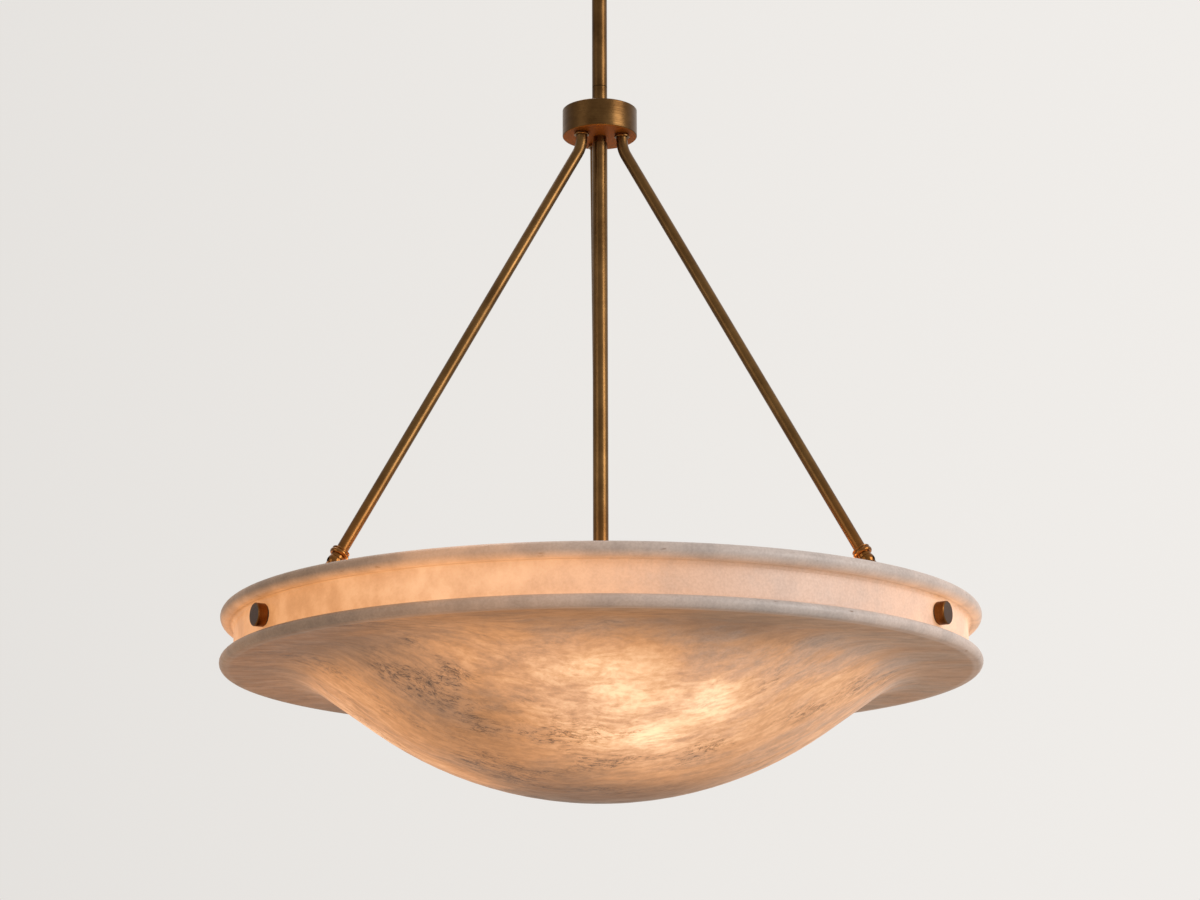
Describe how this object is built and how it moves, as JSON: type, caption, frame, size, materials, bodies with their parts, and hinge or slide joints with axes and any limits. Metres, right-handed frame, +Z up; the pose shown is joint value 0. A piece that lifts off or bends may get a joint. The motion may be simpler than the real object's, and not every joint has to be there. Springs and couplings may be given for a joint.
{
  "type": "alabaster bowl pendant",
  "caption": "Ceiling pendant: a shallow turned alabaster bowl with a double-flanged rim, hung by three knuckled brass arms from a hub, a straight stem and a hang-straight swivel.",
  "frame": {"origin": "centre of the crossbar's top face, on the ceiling plane", "axes": "+Z up into the ceiling, +X along the crossbar and to the right in the picture, -Y towards the viewer"},
  "size_m": [0.61, 0.61, 0.8309],
  "materials": {
    "alabaster": "polished alabaster, lit warm from inside, with grey veins and clouds",
    "aged_brass": "aged brass, fine brushed, satin lacquer",
    "zinc_steel": "zinc plated, plain",
    "holder_black": "moulded black thermoset",
    "gasket_rubber": "soft rubber sheet",
    "bulb_cap_metal": "bright rolled screw cap",
    "bulb_glass": "frosted glass"
  },
  "bodies": {
    "ceiling": {"crossbar": "zinc_steel", "ground_screw": "zinc_steel", "canopy": "aged_brass", "canopy_ring": "aged_brass", "canopy_nipple": "zinc_steel", "nipple_locknut": "zinc_steel"},
    "swivel": {"swivel_cap": "aged_brass", "swivel_fork": "aged_brass", "swivel_pin": "aged_brass"},
    "pendant": {"alabaster_bowl": "alabaster", "arm_collar_left": "aged_brass", "arm_collar_rear": "aged_brass", "arm_collar_right": "aged_brass", "arm_ferrules": "aged_brass", "arm_left": "aged_brass", "arm_nuts": "zinc_steel", "arm_rear": "aged_brass", "arm_right": "aged_brass", "bulb_base_back": "bulb_cap_metal", "bulb_base_front": "bulb_cap_metal", "bulb_base_side": "bulb_cap_metal", "bulb_glass_back": "bulb_glass", "bulb_glass_front": "bulb_glass", "bulb_glass_side": "bulb_glass", "centre_tube": "aged_brass", "cluster_body": "aged_brass", "cluster_cap": "aged_brass", "cluster_locknut": "zinc_steel", "cluster_nipple": "zinc_steel", "holder_nipples": "zinc_steel", "hub_cup": "aged_brass", "hub_lid": "aged_brass", "hub_locknut": "zinc_steel", "hub_nipple": "zinc_steel", "inner_gaskets": "gasket_rubber", "knuckle_fork_left": "aged_brass", "knuckle_fork_rear": "aged_brass", "knuckle_fork_right": "aged_brass", "knuckle_pins": "aged_brass", "lamp_holder_back": "holder_black", "lamp_holder_front": "holder_black", "lamp_holder_side": "holder_black", "outer_gaskets": "gasket_rubber", "rim_bolt_left": "aged_brass", "rim_bolt_rear": "aged_brass", "rim_bolt_right": "aged_brass", "rim_bracket_left": "aged_brass", "rim_bracket_rear": "aged_brass", "rim_bracket_right": "aged_brass", "stem": "aged_brass", "stem_coupler": "aged_brass", "stem_nipple": "zinc_steel", "swivel_tongue": "aged_brass", "tube_neck": "aged_brass"}
  },
  "joints": [
    {"name": "stem_spin", "type": "hinge", "parent": "ceiling", "child": "swivel", "pos_m": [0, 0, -0.035], "axis": [0, 0, 1], "range_deg": [-180, 180]},
    {"name": "stem_tilt", "type": "hinge", "parent": "swivel", "child": "pendant", "pos_m": [0, 0, -0.0541], "axis": [1, 0, 0], "range_deg": [-45, 45]}
  ]
}
